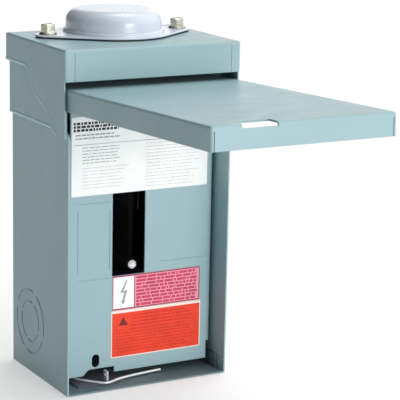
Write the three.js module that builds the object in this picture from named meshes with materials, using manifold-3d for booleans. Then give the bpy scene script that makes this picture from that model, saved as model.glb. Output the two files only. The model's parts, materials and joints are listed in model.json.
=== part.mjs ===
// Small outdoor load centre: a rainproof sheet-steel box with a hood, a lift-up door,
// a dead front over the live parts, and a closed conduit hub opening on top.
// Millimetres. +Z is up, -Y is the front. The origin is the middle of the face that
// lies on the wall; inside the file heights are counted up from the box's floor.

import * as THREE from 'three';
import { mergeVertices } from 'three/addons/utils/BufferGeometryUtils.js';
import Module from 'manifold-3d';

const wasm = await Module();
wasm.setup();

// ---- driving dimensions ----
const SHEET = 1.2; // steel thickness
const GAP = 0.3; // clearance between pieces that touch
const HEIGHT = 237; // floor to hood top
const BODY_HALF = 61.6; // half the outer width of the box
const DEPTH = 94; // wall face to the box's front edge
const HOOD_HALF = 66.1;
const HOOD_FRONT = -97.4;
const APRON_HEIGHT = 21; // the hood's front face
const DOOR_HALF = 63.2;
const DOOR_FLANGE = 14.7;
const DOOR_FACE_OFFSET = 11.7; // hinge axis to the door's outer face
const DOOR_REACH_DOWN = 201.2; // hinge axis to the door's lower edge, closed
const DOOR_REACH_UP = 18.5; // hinge axis to the door's upper edge, closed
const OPEN_ANGLE = THREE.MathUtils.degToRad(92.5);
const HINGE = { y: -84, z: 198.85 };
const DEAD_FRONT_Y = -76; // outer face of the dead front
const DEAD_FRONT_HALF = 58;
const DEAD_FRONT_LOW = 6.5;
const DEAD_FRONT_HIGH = 205;
const WINDOW = { left: -19.8, right: 5.4, low: 75.4, high: 133.9 }; // breaker opening
const HUB_Y = -35; // centre of the hub opening
const HUB_RADIUS = 27;
const CAP_SCREW_X = 49.7;
const KNOCKOUT = { y: -31.8, z: 36.9, outer: 22.8, inner: 14.4 };

const INNER = BODY_HALF - SHEET; // inner face of a side wall
const FLOOR_TOP = SHEET;
const HOOD_UNDER = HEIGHT - SHEET;
const ROOF_TOP = HOOD_UNDER - GAP;
const ROOF_UNDER = ROOF_TOP - SHEET;

// ---- colours and finishes ----
const FINISH = {
  enamel: { color: 0xa5bec1, roughness: 0.42, metalness: 0.0 },
  enamelDark: { color: 0x8fa6a8, roughness: 0.45, metalness: 0.0 },
  castGrey: { color: 0xb9bece, roughness: 0.38, metalness: 0.3 },
  zinc: { color: 0xc9c6a8, roughness: 0.35, metalness: 0.9 },
  steel: { color: 0xc4c8cc, roughness: 0.3, metalness: 1.0 },
  tinnedBus: { color: 0xb4b8ba, roughness: 0.4, metalness: 1.0 },
  aluminium: { color: 0xa9acae, roughness: 0.45, metalness: 1.0 },
  blackPlastic: { color: 0x17191c, roughness: 0.55, metalness: 0.0 },
  gasket: { color: 0x202224, roughness: 0.9, metalness: 0.0 },
  paper: { color: 0xf4f5f3, roughness: 0.6, metalness: 0.0 },
  crimson: { color: 0xd84c7c, roughness: 0.5, metalness: 0.0 },
  orange: { color: 0xe94a32, roughness: 0.5, metalness: 0.0 },
};

const assembly = new THREE.Group();
assembly.position.z = -HEIGHT / 2;

function addPart(name, geometry, finish, parent = assembly) {
  const mesh = new THREE.Mesh(geometry, new THREE.MeshStandardMaterial(FINISH[finish]));
  mesh.name = name;
  parent.add(mesh);
  return mesh;
}

// ---- geometry to solid and back ----
function toSolid(geometry) {
  const bare = geometry.clone();
  bare.deleteAttribute('normal');
  bare.deleteAttribute('uv');
  const merged = mergeVertices(bare, 1e-4);
  return new wasm.Manifold(new wasm.Mesh({
    numProp: 3,
    vertProperties: new Float32Array(merged.attributes.position.array),
    triVerts: new Uint32Array(merged.index.array),
  }));
}

function toGeometry(solid) {
  const mesh = solid.getMesh();
  const geometry = new THREE.BufferGeometry();
  geometry.setAttribute('position', new THREE.BufferAttribute(mesh.vertProperties, 3));
  geometry.setIndex(new THREE.BufferAttribute(mesh.triVerts, 1));
  return geometry;
}

const join = (...solids) => solids.reduce((sum, next) => sum.add(next));
const cut = (solid, ...tools) => tools.reduce((rest, tool) => rest.subtract(tool), solid);

// ---- basic shapes ----
function boxGeometry([x0, x1], [y0, y1], [z0, z1]) {
  const geometry = new THREE.BoxGeometry(x1 - x0, y1 - y0, z1 - z0);
  return geometry.translate((x0 + x1) / 2, (y0 + y1) / 2, (z0 + z1) / 2);
}
const box = (xs, ys, zs) => toSolid(boxGeometry(xs, ys, zs));
const span = (half) => [-half, half];

function extrude(shape, depth, curveSegments = 12) {
  return new THREE.ExtrudeGeometry(shape, { depth, bevelEnabled: false, curveSegments });
}

// An outline drawn in y and z, thickened along x.
function sidePlate(shape, [x0, x1], curveSegments) {
  const turn = new THREE.Matrix4().makeBasis(
    new THREE.Vector3(0, 1, 0), new THREE.Vector3(0, 0, 1), new THREE.Vector3(1, 0, 0));
  return toSolid(extrude(shape, x1 - x0, curveSegments).applyMatrix4(turn).translate(x0, 0, 0));
}

// An outline drawn in x and z, thickened along y.
function facePlate(shape, [y0, y1], curveSegments) {
  return toSolid(extrude(shape, y1 - y0, curveSegments).rotateX(Math.PI / 2).translate(0, y1, 0));
}

// An outline drawn in x and y, thickened along z.
function flatPlate(shape, [z0, z1], curveSegments) {
  return toSolid(extrude(shape, z1 - z0, curveSegments).translate(0, 0, z0));
}

function circle(x, y, radius) {
  return new THREE.Shape().absarc(x, y, radius, 0, Math.PI * 2, false);
}

function rectangle(x0, x1, y0, y1) {
  return new THREE.Shape([
    new THREE.Vector2(x0, y0), new THREE.Vector2(x1, y0),
    new THREE.Vector2(x1, y1), new THREE.Vector2(x0, y1)]);
}

// A slot with round ends, standing upright on its centre.
function obround(x, z, radius, length) {
  const rise = length / 2 - radius;
  const shape = new THREE.Shape();
  shape.absarc(x, z + rise, radius, 0, Math.PI, false);
  shape.absarc(x, z - rise, radius, Math.PI, Math.PI * 2, false);
  return shape;
}

// A turned piece about the z axis from [radius, height] points.
function turned(points, segments = 24) {
  const profile = points.map(([radius, height]) => new THREE.Vector2(radius, height));
  return new THREE.LatheGeometry(profile, segments).rotateX(Math.PI / 2);
}

// ---- fasteners, each standing on z = 0 with its shank below ----
function hexScrew({ across, washer, washerHeight, height, shank, length }) {
  const hexagon = new THREE.CylinderGeometry(across / Math.sqrt(3), across / Math.sqrt(3), height, 6);
  hexagon.rotateX(Math.PI / 2).translate(0, 0, height / 2);
  const body = turned([[0, -length], [shank, -length], [shank, 0], [washer, 0],
    [washer, washerHeight * 0.5], [washer * 0.86, washerHeight], [0, washerHeight]]);
  return join(toSolid(hexagon), toSolid(body));
}

function slottedScrew({ head, headHeight, shank, length, slot = 0.9 }) {
  const body = turned([[0, -length], [shank, -length], [shank, 0], [head, 0],
    [head, headHeight * 0.55], [head * 0.7, headHeight], [0, headHeight]], 12);
  const groove = boxGeometry(span(head + 1), span(slot / 2), [headHeight * 0.45, headHeight + 1]);
  return cut(toSolid(body), toSolid(groove));
}

// Turns a z-standing solid so that its head faces the front.
const facingFront = (solid) => solid.rotate([90, 0, 0]);

// ---- box ----
// The side wall steps back under the hood and ends in a round lobe about the hinge axis.
function sideWallOutline() {
  const lobe = 5.2;
  const shelf = 4.4; // height of the wall's shelf above the hinge axis
  const shelfBack = -64.5;
  const shape = new THREE.Shape();
  shape.moveTo(0, 0);
  shape.lineTo(-DEPTH, 0);
  shape.lineTo(-DEPTH, HINGE.z - 20);
  shape.lineTo(HINGE.y - lobe, HINGE.z - 16);
  shape.absarc(HINGE.y, HINGE.z, lobe, Math.PI, Math.PI - Math.asin(shelf / lobe), true);
  shape.lineTo(shelfBack, HINGE.z + shelf);
  shape.lineTo(shelfBack, ROOF_UNDER - GAP);
  shape.lineTo(0, ROOF_UNDER - GAP);
  return shape;
}

// A shallow ring pressed into a wall, drawn as a groove.
function ringGroove(radius) {
  const width = 0.7;
  const shape = circle(0, 0, radius + width / 2);
  shape.holes.push(new THREE.Path().absarc(0, 0, radius - width / 2, 0, Math.PI * 2, true));
  return shape;
}

function knockoutRings(place) {
  return [KNOCKOUT.outer, KNOCKOUT.inner].map((radius) => place(ringGroove(radius)));
}

function enclosureBody() {
  const grooveDepth = 0.5;
  const outline = sideWallOutline();
  const walls = [[-BODY_HALF, -INNER], [INNER, BODY_HALF]].map((xs) => sidePlate(outline, xs, 10));
  const back = box(span(BODY_HALF - 0.6), [-SHEET, 0], [0, ROOF_UNDER - GAP]);
  const pinHole = sidePlate(circle(HINGE.y, HINGE.z, 2.3), span(BODY_HALF + 1), 10);
  const wallHoles = [[0, 186, 3.4], [-38, 24, 2.8], [38, 24, 2.8]].map(([x, z, radius]) =>
    facePlate(obround(x, z, radius, radius * 4), [-SHEET - 1, 1], 8));
  const rings = [-1, 1].flatMap((side) => knockoutRings((ring) => {
    const xs = [side * (BODY_HALF - grooveDepth), side * (BODY_HALF + 1)].sort((a, b) => a - b);
    return sidePlate(ring, xs, 16).translate([0, KNOCKOUT.y, KNOCKOUT.z]);
  }));
  return toGeometry(cut(join(...walls, back), pinHole, ...wallHoles, ...rings));
}

function bottomEndWall() {
  const half = INNER - GAP;
  const lip = 11;
  const front = -DEPTH + 9.5; // the side lips stop short of the front edge
  const plate = box(span(half), [-DEPTH, -SHEET - GAP], [0, FLOOR_TOP]);
  const lips = [-1, 1].map((side) => {
    const xs = [side * half, side * (half - SHEET)].sort((a, b) => a - b);
    return box(xs, [front, -SHEET - GAP], [0, lip]);
  });
  const rear = box(span(half), [-2 * SHEET - GAP, -SHEET - GAP], [0, lip]);
  const rings = knockoutRings((ring) => flatPlate(ring, [-1, 0.5], 16).translate([0, -46, 0]));
  return toGeometry(cut(join(plate, ...lips, rear), ...rings));
}

// The roof plate closes the box under the hood. Its side flanges lie on the outside of the
// walls and run down under the skirts.
function topEndWall() {
  const outer = DOOR_HALF;
  const flange = new THREE.Shape();
  flange.moveTo(0, 181.5);
  flange.lineTo(-76.5, 181.5);
  flange.lineTo(-76.5, 184.5);
  flange.lineTo(-65, 192);
  flange.lineTo(-65, ROOF_TOP);
  flange.lineTo(0, ROOF_TOP);
  const plate = box(span(outer), [-DEPTH + 0.5, 0], [ROOF_UNDER, ROOF_TOP]);
  const flanges = [-1, 1].map((side) => {
    const xs = [side * outer, side * (outer - SHEET)].sort((a, b) => a - b);
    return sidePlate(flange, xs);
  });
  const hole = flatPlate(circle(0, HUB_Y, HUB_RADIUS), [ROOF_UNDER - 1, ROOF_TOP + 1], 18);
  return toGeometry(cut(join(plate, ...flanges), hole, ...capScrewHoles(ROOF_UNDER - 1)));
}

function capScrewHoles(low) {
  return [-1, 1].map((side) =>
    flatPlate(circle(side * CAP_SCREW_X, HUB_Y, 2.4), [low, HEIGHT + 3], 6));
}

// ---- hood ----
// The skirt is short at the back and sweeps down to a deep tab beside the door's hinge.
function skirtOutline() {
  const shape = new THREE.Shape();
  shape.moveTo(0, HEIGHT);
  shape.lineTo(0, 218.2);
  shape.lineTo(-30, 218);
  shape.quadraticCurveTo(-39.5, 217.5, -42, 209.5);
  shape.quadraticCurveTo(-44.5, 202.5, -52, 199.5);
  shape.lineTo(-64, 194.8);
  shape.quadraticCurveTo(-70.5, 192, -72.8, 186.5);
  shape.quadraticCurveTo(-75.8, 179.6, -84, 179);
  shape.lineTo(HOOD_FRONT, 178.8);
  shape.lineTo(HOOD_FRONT, HEIGHT);
  return shape;
}

function hood() {
  const outline = skirtOutline();
  const inner = HOOD_HALF - SHEET;
  const skirts = [[-HOOD_HALF, -inner], [inner, HOOD_HALF]].map((xs) => sidePlate(outline, xs, 6));
  const top = box(span(HOOD_HALF - 0.5), [HOOD_FRONT, 0], [HOOD_UNDER, HEIGHT]);
  const apron = box(span(HOOD_HALF - 0.5), [HOOD_FRONT, HOOD_FRONT + SHEET],
    [HEIGHT - APRON_HEIGHT, HEIGHT]);
  const hole = flatPlate(circle(0, HUB_Y, HUB_RADIUS), [HOOD_UNDER - 1, HEIGHT + 1], 18);
  return toGeometry(cut(join(...skirts, top, apron), hole, ...capScrewHoles(HOOD_UNDER - 1)));
}

// ---- closing cap of the hub opening ----
// A rhombic flange: a big round middle with a small round lobe at each screw.
function capFlangeOutline(inset) {
  const middle = 39.5 - inset;
  const lobe = 9 - inset;
  const rear = -1.5 - inset;
  const lean = Math.asin((middle - lobe) / CAP_SCREW_X);
  const shape = new THREE.Shape();
  shape.absarc(0, HUB_Y, middle, -Math.PI / 2 - lean, -Math.PI / 2 + lean, false);
  shape.absarc(CAP_SCREW_X, HUB_Y, lobe, -Math.PI / 2 + lean, Math.PI / 2 - lean, false);
  shape.lineTo(CAP_SCREW_X * 0.45, rear);
  shape.lineTo(-CAP_SCREW_X * 0.45, rear);
  shape.absarc(-CAP_SCREW_X, HUB_Y, lobe, Math.PI / 2 + lean, Math.PI * 1.5 - lean, false);
  return shape;
}

function holed(shape, x, y, radius) {
  shape.holes.push(new THREE.Path().absarc(x, y, radius, 0, Math.PI * 2, true));
  return shape;
}

const GASKET_TOP = HEIGHT + 1;
const CAP_BASE = GASKET_TOP + 0.1;
const FLANGE_TOP = CAP_BASE + SHEET;

function hubGasket() {
  const outline = holed(capFlangeOutline(0.8), 0, HUB_Y, HUB_RADIUS + 2);
  const plate = flatPlate(outline, [HEIGHT + 0.1, GASKET_TOP], 12);
  return toGeometry(cut(plate, ...capScrewHoles(HEIGHT - 1)));
}

// Half the dome's section, offset inwards by the sheet for the inner skin.
function domeSection(offset, base) {
  const wallRadius = 33.3 - offset;
  const top = 255.3 - offset;
  const round = 9 - offset;
  const points = [[wallRadius, base]];
  const steps = 6;
  for (let i = 0; i <= steps; i += 1) {
    const angle = (i / steps) * Math.PI / 2;
    points.push([wallRadius - round + round * Math.cos(angle), top - round + round * Math.sin(angle)]);
  }
  return points;
}

function hubClosingCap() {
  const outer = [[0, CAP_BASE], [35.2, CAP_BASE], [35.2, FLANGE_TOP + 0.4], [33.8, FLANGE_TOP + 1.6],
    ...domeSection(0, FLANGE_TOP + 3), [0, 255.6]];
  const inner = [[0, CAP_BASE - 1], [31.6, CAP_BASE - 1], ...domeSection(1.4, FLANGE_TOP + 2), [0, 254.2]];
  const flange = flatPlate(capFlangeOutline(0), [CAP_BASE, FLANGE_TOP], 14);
  const centre = [0, HUB_Y, 0];
  const dome = toSolid(turned(outer, 44)).translate(centre);
  const hollow = toSolid(turned(inner, 44)).translate(centre);
  return toGeometry(cut(join(flange, dome), hollow, ...capScrewHoles(HEIGHT)));
}

function capScrews() {
  const screw = hexScrew({ across: 9, washer: 6.1, washerHeight: 1.4, height: 6.8, shank: 2, length: 9 });
  for (const [name, side] of [['left', -1], ['right', 1]]) {
    const placed = screw.translate([side * CAP_SCREW_X, HUB_Y, FLANGE_TOP + 0.1]);
    addPart(`cap_screw_${name}`, toGeometry(placed), 'zinc');
  }
}

// ---- door, drawn closed and then swung up about the hinge axis ----
function doorGeometry() {
  const face = HINGE.y - DOOR_FACE_OFFSET;
  const low = HINGE.z - DOOR_REACH_DOWN;
  const high = HINGE.z + DOOR_REACH_UP;
  const shoulder = HINGE.z + 9; // the side flanges stop here
  const tongueHalf = INNER + 0.4; // the upper strip is narrower, to pass the roof's flanges
  const faces = join(
    box(span(DOOR_HALF), [face, face + SHEET], [low, shoulder]),
    box(span(tongueHalf), [face, face + SHEET], [shoulder - 1, high]));
  const flangeOutline = rectangle(face, face + DOOR_FLANGE, low, shoulder);
  const xs = [DOOR_HALF - SHEET, DOOR_HALF];
  const mirrored = xs.map((x) => -x).reverse();
  const flanges = [xs, mirrored].flatMap((pair) => [
    sidePlate(flangeOutline, pair),
    sidePlate(circle(HINGE.y, HINGE.z, 6.5), pair, 10)]);
  const lowerFlange = box(span(DOOR_HALF - 0.5), [face, face + DOOR_FLANGE], [low, low + SHEET]);
  const cornerSlits = [-1, 1].map((side) => {
    const slit = [side * (DOOR_HALF - SHEET - 1.5), side * (DOOR_HALF - SHEET)].sort((a, b) => a - b);
    return box(slit, [face + SHEET + 0.4, face + DOOR_FLANGE + 1], [low - 1, low + SHEET + 0.05]);
  });
  const slot = box([-42.8, -18.9], [face - 1, face + 2.7], [low - 1, low + 10.5]);
  const pinHole = sidePlate(circle(HINGE.y, HINGE.z, 2.3), span(DOOR_HALF + 1), 10);
  return toGeometry(cut(join(faces, ...flanges, lowerFlange), ...cornerSlits, slot, pinHole));
}

function addDoor() {
  const hinge = new THREE.Group();
  hinge.position.set(0, HINGE.y, HINGE.z);
  hinge.rotation.x = -OPEN_ANGLE;
  assembly.add(hinge);
  addPart('door', doorGeometry().translate(0, -HINGE.y, -HINGE.z), 'enamel', hinge);
}

function hingePins() {
  const flat = BODY_HALF - SHEET - GAP;
  const profile = [[0, flat - 1.2], [3.4, flat - 1.2], [3.4, flat], [2, flat],
    [2, DOOR_HALF + 0.2], [3.6, DOOR_HALF + 0.2], [3.6, DOOR_HALF + 0.9], [2.4, DOOR_HALF + 1.3],
    [0, DOOR_HALF + 1.3]];
  for (const [name, side] of [['left', -1], ['right', 1]]) {
    const geometry = turned(profile, 20).rotateY((side * Math.PI) / 2).translate(0, HINGE.y, HINGE.z);
    addPart(`hinge_pin_${name}`, geometry, 'zinc');
  }
}

// ---- dead front and its rails ----
function deadFront() {
  const outline = new THREE.Shape();
  const notch = { left: -38.3, right: -17.5, top: 10.6 };
  const relief = { half: DEAD_FRONT_HALF - 2.6, top: 19.5 }; // each lower corner, below the flanges
  const hingeNotch = { left: -51.6, right: 54.2, low: 174 };
  outline.moveTo(-relief.half, DEAD_FRONT_LOW);
  outline.lineTo(notch.left - 3, DEAD_FRONT_LOW);
  outline.lineTo(notch.left, notch.top - 1);
  outline.lineTo(notch.left + 2, notch.top);
  outline.lineTo(notch.right, notch.top);
  outline.lineTo(notch.right, DEAD_FRONT_LOW);
  outline.lineTo(relief.half, DEAD_FRONT_LOW);
  outline.lineTo(relief.half, relief.top);
  outline.lineTo(DEAD_FRONT_HALF, relief.top);
  outline.lineTo(DEAD_FRONT_HALF, hingeNotch.low);
  outline.lineTo(hingeNotch.right, hingeNotch.low);
  outline.lineTo(hingeNotch.right, DEAD_FRONT_HIGH);
  outline.lineTo(hingeNotch.left, DEAD_FRONT_HIGH);
  outline.lineTo(hingeNotch.left, hingeNotch.low);
  outline.lineTo(-DEAD_FRONT_HALF, hingeNotch.low);
  outline.lineTo(-DEAD_FRONT_HALF, relief.top);
  outline.lineTo(-relief.half, relief.top);
  const opening = rectangle(WINDOW.left, WINDOW.right, WINDOW.low, WINDOW.high);
  outline.holes.push(opening, obround(-31.8, 16.3, 2.9, 9.4));
  const plate = facePlate(outline, [DEAD_FRONT_Y, DEAD_FRONT_Y + SHEET], 8);
  const flanges = [-1, 1].map((side) => {
    const xs = [side * DEAD_FRONT_HALF, side * (DEAD_FRONT_HALF - SHEET)].sort((a, b) => a - b);
    return box(xs, [DEAD_FRONT_Y, DEAD_FRONT_Y + 8], [relief.top, hingeNotch.low]);
  });
  const top = box([hingeNotch.left, hingeNotch.right], [DEAD_FRONT_Y, DEAD_FRONT_Y + 8],
    [DEAD_FRONT_HIGH - SHEET, DEAD_FRONT_HIGH]);
  return toGeometry(join(plate, ...flanges, top));
}

// An angle on each side wall that the dead front's flanges rest on.
function deadFrontRails() {
  const low = 22;
  const high = 172;
  const front = DEAD_FRONT_Y + 8 + GAP;
  const outer = INNER - GAP;
  for (const [name, side] of [['left', -1], ['right', 1]]) {
    const pair = (a, b) => [side * a, side * b].sort((p, q) => p - q);
    const leg = box(pair(outer, outer - SHEET), [front, front + 12], [low, high]);
    const shelf = box(pair(outer, outer - 9), [front, front + SHEET], [low, high]);
    addPart(`dead_front_rail_${name}`, toGeometry(join(leg, shelf)), 'enamelDark');
  }
}

// ---- labels, thin sheets on the dead front ----
const LABEL_BACK = DEAD_FRONT_Y - 0.1;
const LABEL_THICK = 0.3;

function addLabel(name, [x0, x1], [z0, z1], finish) {
  const geometry = boxGeometry([x0, x1], [LABEL_BACK - LABEL_THICK, LABEL_BACK], [z0, z1]);
  addPart(name, geometry, finish);
}

// ---- sealing wire and its bracket on the floor ----
function sealWire() {
  const lift = 3.2;
  const route = [[-46.5, -61], [-44.8, -68], [-41.6, -74], [-35.6, -81], [-31.4, -85.6], [-28.4, -87.2],
    [-24.6, -86.2], [-19.5, -83.4], [-12.2, -80.8], [2, -78.6], [18.6, -76.6]];
  const curve = new THREE.CatmullRomCurve3(
    route.map(([x, y]) => new THREE.Vector3(x, y, lift)), false, 'centripetal');
  const section = circle(0, 0, 0.8);
  return new THREE.ExtrudeGeometry(section, { steps: 36, curveSegments: 5, extrudePath: curve });
}

function sealBracket() {
  const foot = box([-49, -14], [-84.5, -60], [FLOOR_TOP + 0.1, FLOOR_TOP + 0.9]);
  const ear = box([-27.4, -26], [-84.5, -79.5], [FLOOR_TOP + 0.5, 10.4]);
  const hole = sidePlate(circle(-82, 7.6, 1.4), [-28, -25], 8);
  return toGeometry(cut(join(foot, ear), hole));
}

// ---- interior: insulator, bus bars, lugs, neutral and ground bars ----
const PAN_FRONT = -SHEET - GAP;
const BASE_FRONT = -20;

function interiorBase() {
  const slab = box([-36, 34], [BASE_FRONT, PAN_FRONT], [62, 172]);
  const barriers = [[-24.6, -21.6], [6.2, 9.2], [27, 30]].map((xs) =>
    box(xs, [-50, BASE_FRONT + 1], [70, 130]));
  const ledge = box([-24, 8], [-26, BASE_FRONT + 1], [94, 98]);
  const boss = facePlate(circle(8.2, 75, 5), [-51, BASE_FRONT + 1], 10);
  const screwHoles = [[-30, 68], [8.2, 75], [28, 168]].map(([x, z]) =>
    facePlate(circle(x, z, 1.9), [-52, -6], 6));
  return toGeometry(cut(join(slab, ...barriers, ledge, boss), ...screwHoles));
}

function baseScrews() {
  const screw = facingFront(slottedScrew({ head: 3, headHeight: 1.8, shank: 1.6, length: 12 }));
  const places = { lower: [-30, BASE_FRONT, 68], front: [8.2, -51, 75], upper: [28, BASE_FRONT, 168] };
  for (const [name, [x, y, z]] of Object.entries(places)) {
    addPart(`interior_screw_${name}`, toGeometry(screw.translate([x, y - 0.1, z])), 'steel');
  }
}

// Each line runs from its lug down to a stab blade that a breaker's jaw grips.
function busBars() {
  const back = BASE_FRONT - 0.2;
  const bars = { left: { x: -13, lug: -22 }, right: { x: 18, lug: 18 } };
  const lugScrew = facingFront(slottedScrew({ head: 4.6, headHeight: 3, shank: 3, length: 1, slot: 1.4 }));
  for (const [name, { x, lug }] of Object.entries(bars)) {
    const strap = box([x - 5, x + 5], [back - 2, back], [112, 160]);
    const pad = box([Math.min(x, lug) - 6, Math.max(x, lug) + 6], [back - 2, back], [148, 165]);
    const stab = box([x - 0.8, x + 0.8], [back - 20, back - 1], [112, 126]);
    addPart(`bus_bar_${name}`, toGeometry(join(strap, pad, stab)), 'tinnedBus');
    const block = box([lug - 6.5, lug + 6.5], [back - 20, back - 2 - GAP], [146, 164]);
    const bore = flatPlate(circle(lug, back - 12.5, 4.4), [140, 170], 8);
    addPart(`line_lug_${name}`, toGeometry(cut(block, bore)), 'aluminium');
    const placed = lugScrew.translate([lug, back - 21.2, 155]);
    addPart(`line_lug_screw_${name}`, toGeometry(placed), 'steel');
  }
}

function breakerHookRail() {
  const back = BASE_FRONT - 0.2;
  const width = [-18, 2.8];
  const foot = box(width, [back - 1.5, back], [72, 86]);
  const hook = box(width, [back - 9, back], [72, 73.5]);
  const lip = box(width, [back - 9, back - 7.5], [72, 79]);
  return toGeometry(join(foot, hook, lip));
}

// A terminal bar with a row of cross bores and one set screw above each.
function terminalBar(name, { x, width, front, low, count, finish }) {
  const pitch = 11;
  const depth = 9;
  const bar = box([x - width / 2, x + width / 2], [front, front + depth], [low, low + count * pitch]);
  const heights = Array.from({ length: count }, (_, i) => low + (i + 0.5) * pitch);
  const bores = heights.map((z) => sidePlate(circle(front + 5.6, z, 2.2), [x - 20, x + 20], 6));
  addPart(`${name}_bar`, toGeometry(cut(bar, ...bores)), finish);
  const screw = facingFront(slottedScrew({ head: 3.4, headHeight: 2.6, shank: 2.2, length: 0.8 }));
  heights.forEach((z, i) => {
    addPart(`${name}_screw_${i + 1}`, toGeometry(screw.translate([x, front - 1, z])), 'zinc');
  });
}

function barStand([x0, x1], [z0, z1], front) {
  return boxGeometry([x0, x1], [front + 9 + GAP, PAN_FRONT], [z0, z1]);
}

// ---- assembly ----
addPart('enclosure_body', enclosureBody(), 'enamel');
addPart('bottom_end_wall', bottomEndWall(), 'enamelDark');
addPart('top_end_wall', topEndWall(), 'enamel');
addPart('hood', hood(), 'enamel');
addPart('hub_gasket', hubGasket(), 'gasket');
addPart('hub_closing_cap', hubClosingCap(), 'castGrey');
capScrews();
addDoor();
hingePins();
addPart('dead_front', deadFront(), 'enamel');
deadFrontRails();
addLabel('rating_label', [-51, 53.4], [134.2, 188.5], 'paper');
addLabel('danger_label', [-19.3, 49.2], [50.9, 75.2], 'crimson');
addLabel('warning_label', [-19.4, 49.5], [17.1, 50.5], 'orange');
addPart('seal_wire', sealWire(), 'steel');
addPart('seal_bracket', sealBracket(), 'zinc');
addPart('interior_base', interiorBase(), 'blackPlastic');
baseScrews();
busBars();
addPart('breaker_hook_rail', breakerHookRail(), 'zinc');
terminalBar('neutral', { x: 46, width: 9, front: -38, low: 84, count: 5, finish: 'aluminium' });
addPart('neutral_stand', barStand([41, 51], [84, 139], -38), 'blackPlastic');
terminalBar('ground', { x: -49, width: 9, front: -22, low: 96, count: 3, finish: 'aluminium' });
addPart('ground_stand', barStand([-53, -45], [97, 128], -22), 'zinc');

export default assembly;
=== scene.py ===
"""Looks of a small outdoor load centre: a hooded steel box with a lift-up door, its dead front
with generic labels, and a capped hub opening. Lengths in the script are millimetres in the
frame's own axes; MM turns them into Blender's metres."""
import json
import math
import random

import bmesh
import bpy
from mathutils import Matrix, Vector


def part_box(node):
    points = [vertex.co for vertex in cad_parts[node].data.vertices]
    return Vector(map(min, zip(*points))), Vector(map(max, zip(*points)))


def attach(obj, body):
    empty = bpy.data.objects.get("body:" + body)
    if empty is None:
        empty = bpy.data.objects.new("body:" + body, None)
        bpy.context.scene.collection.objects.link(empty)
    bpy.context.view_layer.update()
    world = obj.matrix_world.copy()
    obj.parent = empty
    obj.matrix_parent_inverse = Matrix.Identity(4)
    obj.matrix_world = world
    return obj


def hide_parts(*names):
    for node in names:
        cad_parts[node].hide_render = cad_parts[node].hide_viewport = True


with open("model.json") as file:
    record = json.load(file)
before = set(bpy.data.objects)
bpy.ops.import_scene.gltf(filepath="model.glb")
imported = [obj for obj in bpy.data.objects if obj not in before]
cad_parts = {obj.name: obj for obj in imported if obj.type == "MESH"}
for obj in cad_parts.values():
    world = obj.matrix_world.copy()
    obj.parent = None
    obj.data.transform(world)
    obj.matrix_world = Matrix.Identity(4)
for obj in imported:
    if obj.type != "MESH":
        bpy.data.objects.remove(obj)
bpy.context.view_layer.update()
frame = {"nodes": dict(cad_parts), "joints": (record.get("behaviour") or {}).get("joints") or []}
MM = 0.001

# ---------------------------------------------------------------- places, read from the frame
def node_box(node):
    """Lowest and highest corner of a CAD node, in millimetres."""
    low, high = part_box(node)
    return low / MM, high / MM


def joint(name):
    return next(j for j in frame["joints"] if j["name"] == name)


BODY_LOW, BODY_HIGH = node_box("enclosure_body")
HOOD_LOW, HOOD_HIGH = node_box("hood")
PLATE_LOW, PLATE_HIGH = node_box("dead_front")
CAP_LOW, CAP_HIGH = node_box("hub_closing_cap")
DOOR_HIGH = node_box("door")[1]
HINGE = Vector(joint("door_hinge")["pos_m"]) / MM
OPEN_ANGLE = math.radians(joint("door_hinge")["range_deg"][1])
FLOOR = BODY_LOW.z

SHEET = 1.2          # steel thickness
BEAD_RADIUS = 1.9    # rolled beads along the edges of the skirts and side flanges
BEAD_RISE = 0.3      # how far a bead stands proud of its sheet
BEND = 1.9           # outside radius of a bend
HUB_Y = -35.0        # centre of the hub opening
HUB_RADIUS = 27.0
HUB_SCREW_X = 49.7   # the cap's screws stand this far to each side
KNOCKOUT_Y = -31.8
KNOCKOUT_Z = FLOOR + 36.9
KNOCKOUT_RADII = (22.8, 14.4)
WINDOW = {"left": -19.8, "right": 5.4, "low": FLOOR + 75.4, "high": FLOOR + 133.9}
random.seed(7)


# ---------------------------------------------------------------- mesh helpers
def new_object(name, mesh):
    piece = bpy.data.objects.new(name, mesh)
    bpy.context.scene.collection.objects.link(piece)
    return piece


def from_faces(name, points, faces):
    """A mesh object from points in millimetres and lists of point numbers."""
    mesh = bpy.data.meshes.new(name)
    mesh.from_pydata([tuple(c * MM for c in p) for p in points], [], faces)
    mesh.validate()
    return new_object(name, mesh)


def prism(name, outline, place, depth):
    """A closed prism: outline points (a, b), placed by place(a, b, d) for d = 0 and d = depth."""
    count = len(outline)
    points = [place(a, b, d) for d in (0.0, depth) for a, b in outline]
    faces = [list(range(count))[::-1], list(range(count, 2 * count))]
    faces += [[i, (i + 1) % count, count + (i + 1) % count, count + i] for i in range(count)]
    piece = from_faces(name, points, faces)
    face_out(piece)
    return piece


def face_out(piece):
    """Turns every face of a closed mesh outwards."""
    work = bmesh.new()
    work.from_mesh(piece.data)
    bmesh.ops.recalc_face_normals(work, faces=work.faces)
    work.to_mesh(piece.data)
    work.free()


def block(name, low, high):
    outline = [(low[0], low[1]), (high[0], low[1]), (high[0], high[1]), (low[0], high[1])]
    return prism(name, outline, lambda a, b, d: (a, b, low[2] + d), high[2] - low[2])


def along_x(x0):
    return lambda a, b, d: (x0 + d, a, b)


def along_y(y0):
    return lambda a, b, d: (a, y0 + d, b)


def along_z(z0):
    return lambda a, b, d: (a, b, z0 + d)


def arc(cx, cy, radius, start, end, steps):
    """Points on an arc, angles in degrees, both ends included."""
    angles = [math.radians(start + (end - start) * i / steps) for i in range(steps + 1)]
    return [(cx + radius * math.cos(a), cy + radius * math.sin(a)) for a in angles]


def ring_outline(cx, cy, radius, steps=64):
    return arc(cx, cy, radius, 0, 360, steps)[:-1]


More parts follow.
